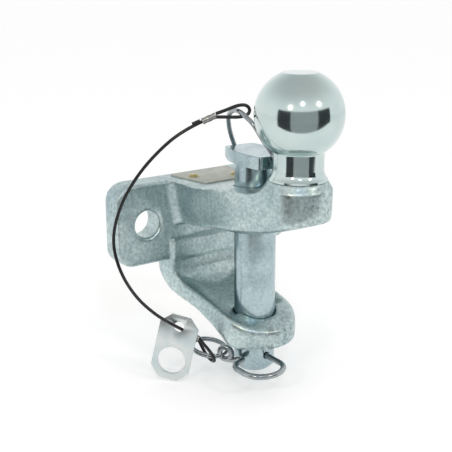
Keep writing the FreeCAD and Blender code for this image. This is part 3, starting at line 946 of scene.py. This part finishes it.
@dataclass
class LabelPlate:
    """The blank plate riveted to the arm, and its two rivets."""
    back_x: float = 4.7
    front_x: float = 36.6
    back_half: float = 22.2
    front_half: float = 15.9
    base_z: float = 25.75
    lift: float = 0.02
    thick: float = 0.8
    corner: float = 1.6
    edge_ease: float = 0.18
    rivets: tuple[tuple[float, float], ...] = ((17.9, -12.6), (27.5, 12.6))
    rivet_radius: float = 3.3
    rivet_height: float = 1.5

    def plate(self) -> bpy.types.Object:
        """Makes the plate with rounded corners and eased edges.

        Returns:
            The finished piece.
        """
        bm = bmesh.new()
        corners = [(self.back_x, -self.back_half), (self.front_x, -self.front_half),
                   (self.front_x, self.front_half), (self.back_x, self.back_half)]
        verts = [bm.verts.new((x * MM, y * MM, (self.base_z + self.lift) * MM))
                 for x, y in corners]
        face = bm.faces.new(verts)
        grown = bmesh.ops.extrude_face_region(bm, geom=[face])["geom"]
        bmesh.ops.translate(bm, verts=[g for g in grown if isinstance(g, bmesh.types.BMVert)],
                            vec=(0, 0, self.thick * MM))
        upright = [e for e in bm.edges if abs(e.verts[0].co.z - e.verts[1].co.z) > 0.1 * MM]
        bmesh.ops.bevel(bm, geom=upright, offset=self.corner * MM, segments=5, profile=0.5,
                        affect="EDGES", material=-1)
        top = [e for e in bm.edges if min(v.co.z for v in e.verts) > (self.base_z + 0.5) * MM]
        bmesh.ops.bevel(bm, geom=top, offset=self.edge_ease * MM, segments=2, profile=0.5,
                        affect="EDGES", material=-1)
        bmesh.ops.recalc_face_normals(bm, faces=bm.faces)
        made = piece_from(bm, "label_plate", Finish.LABEL)
        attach(made, Body.FORGING.value)
        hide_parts("nameplate")
        return made

    def rivet_pair(self) -> bpy.types.Object:
        """Makes both rivets as one piece.

        Returns:
            The finished piece.
        """
        face = self.base_z + self.thick
        r, h = self.rivet_radius, self.rivet_height
        profile = [(0.0, face - 0.4), (r - 0.5, face - 0.4), (r - 0.2, face),
                   (r, face + 0.12), (0.93 * r, face + 0.42 * h), (0.72 * r, face + 0.74 * h),
                   (0.42 * r, face + 0.93 * h), (0.15 * r, face + 0.99 * h), (0.0, face + h)]
        whole = bmesh.new()
        for x, y in self.rivets:
            one = spun(profile, steps=40)
            bmesh.ops.translate(one, verts=one.verts, vec=(x * MM, y * MM, 0))
            held = bpy.data.meshes.new("rivet")
            one.to_mesh(held)
            one.free()
            whole.from_mesh(held)
            bpy.data.meshes.remove(held)
        made = piece_from(whole, "domed_rivets", Finish.RIVET)
        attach(made, Body.FORGING.value)
        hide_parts("nameplate_rivets")
        return made

    def build(self) -> None:
        """Makes the plate and its rivets."""
        self.plate()
        self.rivet_pair()
        LOG.info("label plate and two rivets")


# ---- ring and tag ---------------------------------------------------------------------------
@dataclass
class SplitRing:
    """Two turns of spring wire lying on each other, wound as one, with a step between them."""
    centre: Point = (52.2, -24.9, -73.5)
    mean_radius: float = 11.0
    wire_radius: float = 0.79
    tilt_deg: float = 10.0
    azimuth_deg: float = 32.0
    wire_sides: int = 14
    steps: int = 80
    step_over: int = 8

    def build(self) -> bpy.types.Object:
        """Makes the ring.

        Returns:
            The finished piece.
        """
        bm = bmesh.new()
        disc = bmesh.ops.create_circle(bm, cap_ends=False, segments=self.wire_sides,
                                       radius=self.wire_radius * MM)
        bmesh.ops.rotate(bm, verts=disc["verts"], matrix=Matrix.Rotation(math.pi / 2, 3, "X"))
        bmesh.ops.translate(bm, verts=disc["verts"],
                            vec=(self.mean_radius * MM, 0, -self.wire_radius * MM))
        climb = 2 * self.wire_radius * MM / self.step_over
        grown = bm.verts[:] + bm.edges[:]
        for share, rise in ((self.steps - self.step_over, 0.0), (self.step_over, climb),
                            (self.steps - self.step_over, 0.0)):
            grown = bmesh.ops.spin(bm, geom=grown, cent=(0, 0, 0), axis=(0, 0, 1),
                                   dvec=(0, 0, rise), angle=math.tau * share / self.steps,
                                   steps=share, use_merge=False)["geom_last"]
        rims = [e for e in bm.edges if e.is_boundary]
        bmesh.ops.holes_fill(bm, edges=rims, sides=0)
        bmesh.ops.recalc_face_normals(bm, faces=bm.faces)
        turn = (Matrix.Rotation(math.radians(self.azimuth_deg), 4, "Z")
                @ Matrix.Rotation(math.radians(self.tilt_deg), 4, "Y"))
        bmesh.ops.transform(bm, matrix=Matrix.Translation(Vector(self.centre) * MM) @ turn,
                            verts=bm.verts)
        made = piece_from(bm, "wound_split_ring", Finish.WIRE)
        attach(made, Body.RING.value)
        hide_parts("split_ring")
        LOG.info("split ring")
        return made


@dataclass
class AnchorTag:
    """The pressed tag: a long octagon with a cable hole, a bolt hole and a slight crease."""
    eye_centre: Point = (49.0, -44.8, -56.4)
    thick: float = 1.4
    half_width: float = 11.95
    cut: float = 6.0
    top: float = 6.95
    low: float = -35.25
    hole_spacing: float = 22.3
    eye_radius: float = 3.2
    bolt_radius: float = 8.5
    crease_z: float = -9.5
    crease_deg: float = 5.0
    edge_ease: float = 0.22
    hole_sides: int = 56
    azimuth_deg: float = -45.0
    lean_deg: float = 12.7

    def outline(self) -> list[tuple[float, float]]:
        """The tag's corners, across and up, in millimetres."""
        w, c, t, b = self.half_width, self.cut, self.top, self.low
        return [(-w + c, t), (w - c, t), (w, t - c), (w, b + c + 1), (w - c, b), (-w + c, b),
                (-w, b + c + 1), (-w, t - c)]

    def placing(self) -> Matrix:
        """The tag's place: hung from the cable hole, leaning and turned."""
        return (Matrix.Translation(Vector(self.eye_centre) * MM)
                @ Matrix.Rotation(math.radians(self.azimuth_deg), 4, "Z")
                @ Matrix.Rotation(math.radians(-self.lean_deg), 4, "X"))

    def build(self) -> bpy.types.Object:
        """Makes the tag.

        Returns:
            The finished piece.
        """
        bm = bmesh.new()
        rim = [bm.verts.new((0, y * MM, z * MM)) for y, z in self.outline()]
        for pair in zip(rim, rim[1:] + rim[:1]):
            bm.edges.new(pair)
        turn = Matrix.Rotation(math.pi / 2, 4, "Y")
        for z, radius in ((0.0, self.eye_radius), (-self.hole_spacing, self.bolt_radius)):
            place = Matrix.Translation((0, 0, z * MM)) @ turn
            bmesh.ops.create_circle(bm, cap_ends=False, segments=self.hole_sides,
                                    radius=radius * MM, matrix=place)
        bmesh.ops.triangle_fill(bm, edges=bm.edges[:], use_beauty=True, use_dissolve=False)
        bmesh.ops.bisect_plane(bm, geom=bm.verts[:] + bm.edges[:] + bm.faces[:],
                               plane_co=(0, 0, self.crease_z * MM), plane_no=(0, 0, 1))
        grown = bmesh.ops.extrude_face_region(bm, geom=bm.faces[:])["geom"]
        bmesh.ops.translate(bm, verts=[g for g in grown if isinstance(g, bmesh.types.BMVert)],
                            vec=(self.thick * MM, 0, 0))
        bmesh.ops.translate(bm, verts=bm.verts, vec=(-self.thick / 2 * MM, 0, 0))
        bmesh.ops.recalc_face_normals(bm, faces=bm.faces)
        sharp = [e for e in bm.edges if e.calc_face_angle(0.0) > math.radians(60)]
        bmesh.ops.bevel(bm, geom=sharp, offset=self.edge_ease * MM, segments=2, profile=0.5,
                        affect="EDGES", material=-1)
        crease = Vector((0, 0, self.crease_z * MM))
        upper = [v for v in bm.verts if v.co.z > crease.z + 0.01 * MM]
        bmesh.ops.rotate(bm, verts=upper, cent=crease,
                         matrix=Matrix.Rotation(math.radians(-self.crease_deg), 3, "Y"))
        bmesh.ops.transform(bm, matrix=self.placing(), verts=bm.verts)
        made = piece_from(bm, "creased_tag", Finish.TAG, smooth_deg=25.0)
        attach(made, Body.TAG.value)
        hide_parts("anchor_tag")
        LOG.info("anchor tag")
        return made


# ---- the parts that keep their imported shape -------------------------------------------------
@dataclass
class TurnedParts:
    """The ball, pin, bail and clip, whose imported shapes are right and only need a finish."""
    finishes: tuple[tuple[str, Finish], ...] = (
        ("tow_ball", Finish.BALL), ("coupling_pin", Finish.PIN), ("pin_bail", Finish.WIRE),
        ("hairpin_clip", Finish.WIRE))

    def build(self, frame: dict) -> None:
        """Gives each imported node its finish.
        """
        for name, finish in self.finishes:
            dress(frame, name, finish)
            LOG.info("%s: %s", name, finish.value.name)


def main() -> None:
    """Builds the studio and every part in order."""
    logging.basicConfig(level=logging.INFO, format="%(name)s: %(message)s")
    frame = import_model()
    studio = Studio()
    studio.camera()
    Lanyard().build()
    Forging().build(frame)
    LabelPlate().build()
    SplitRing().build()
    AnchorTag().build()
    TurnedParts().build(frame)
    studio.build()


if __name__ == "__main__":
    main()
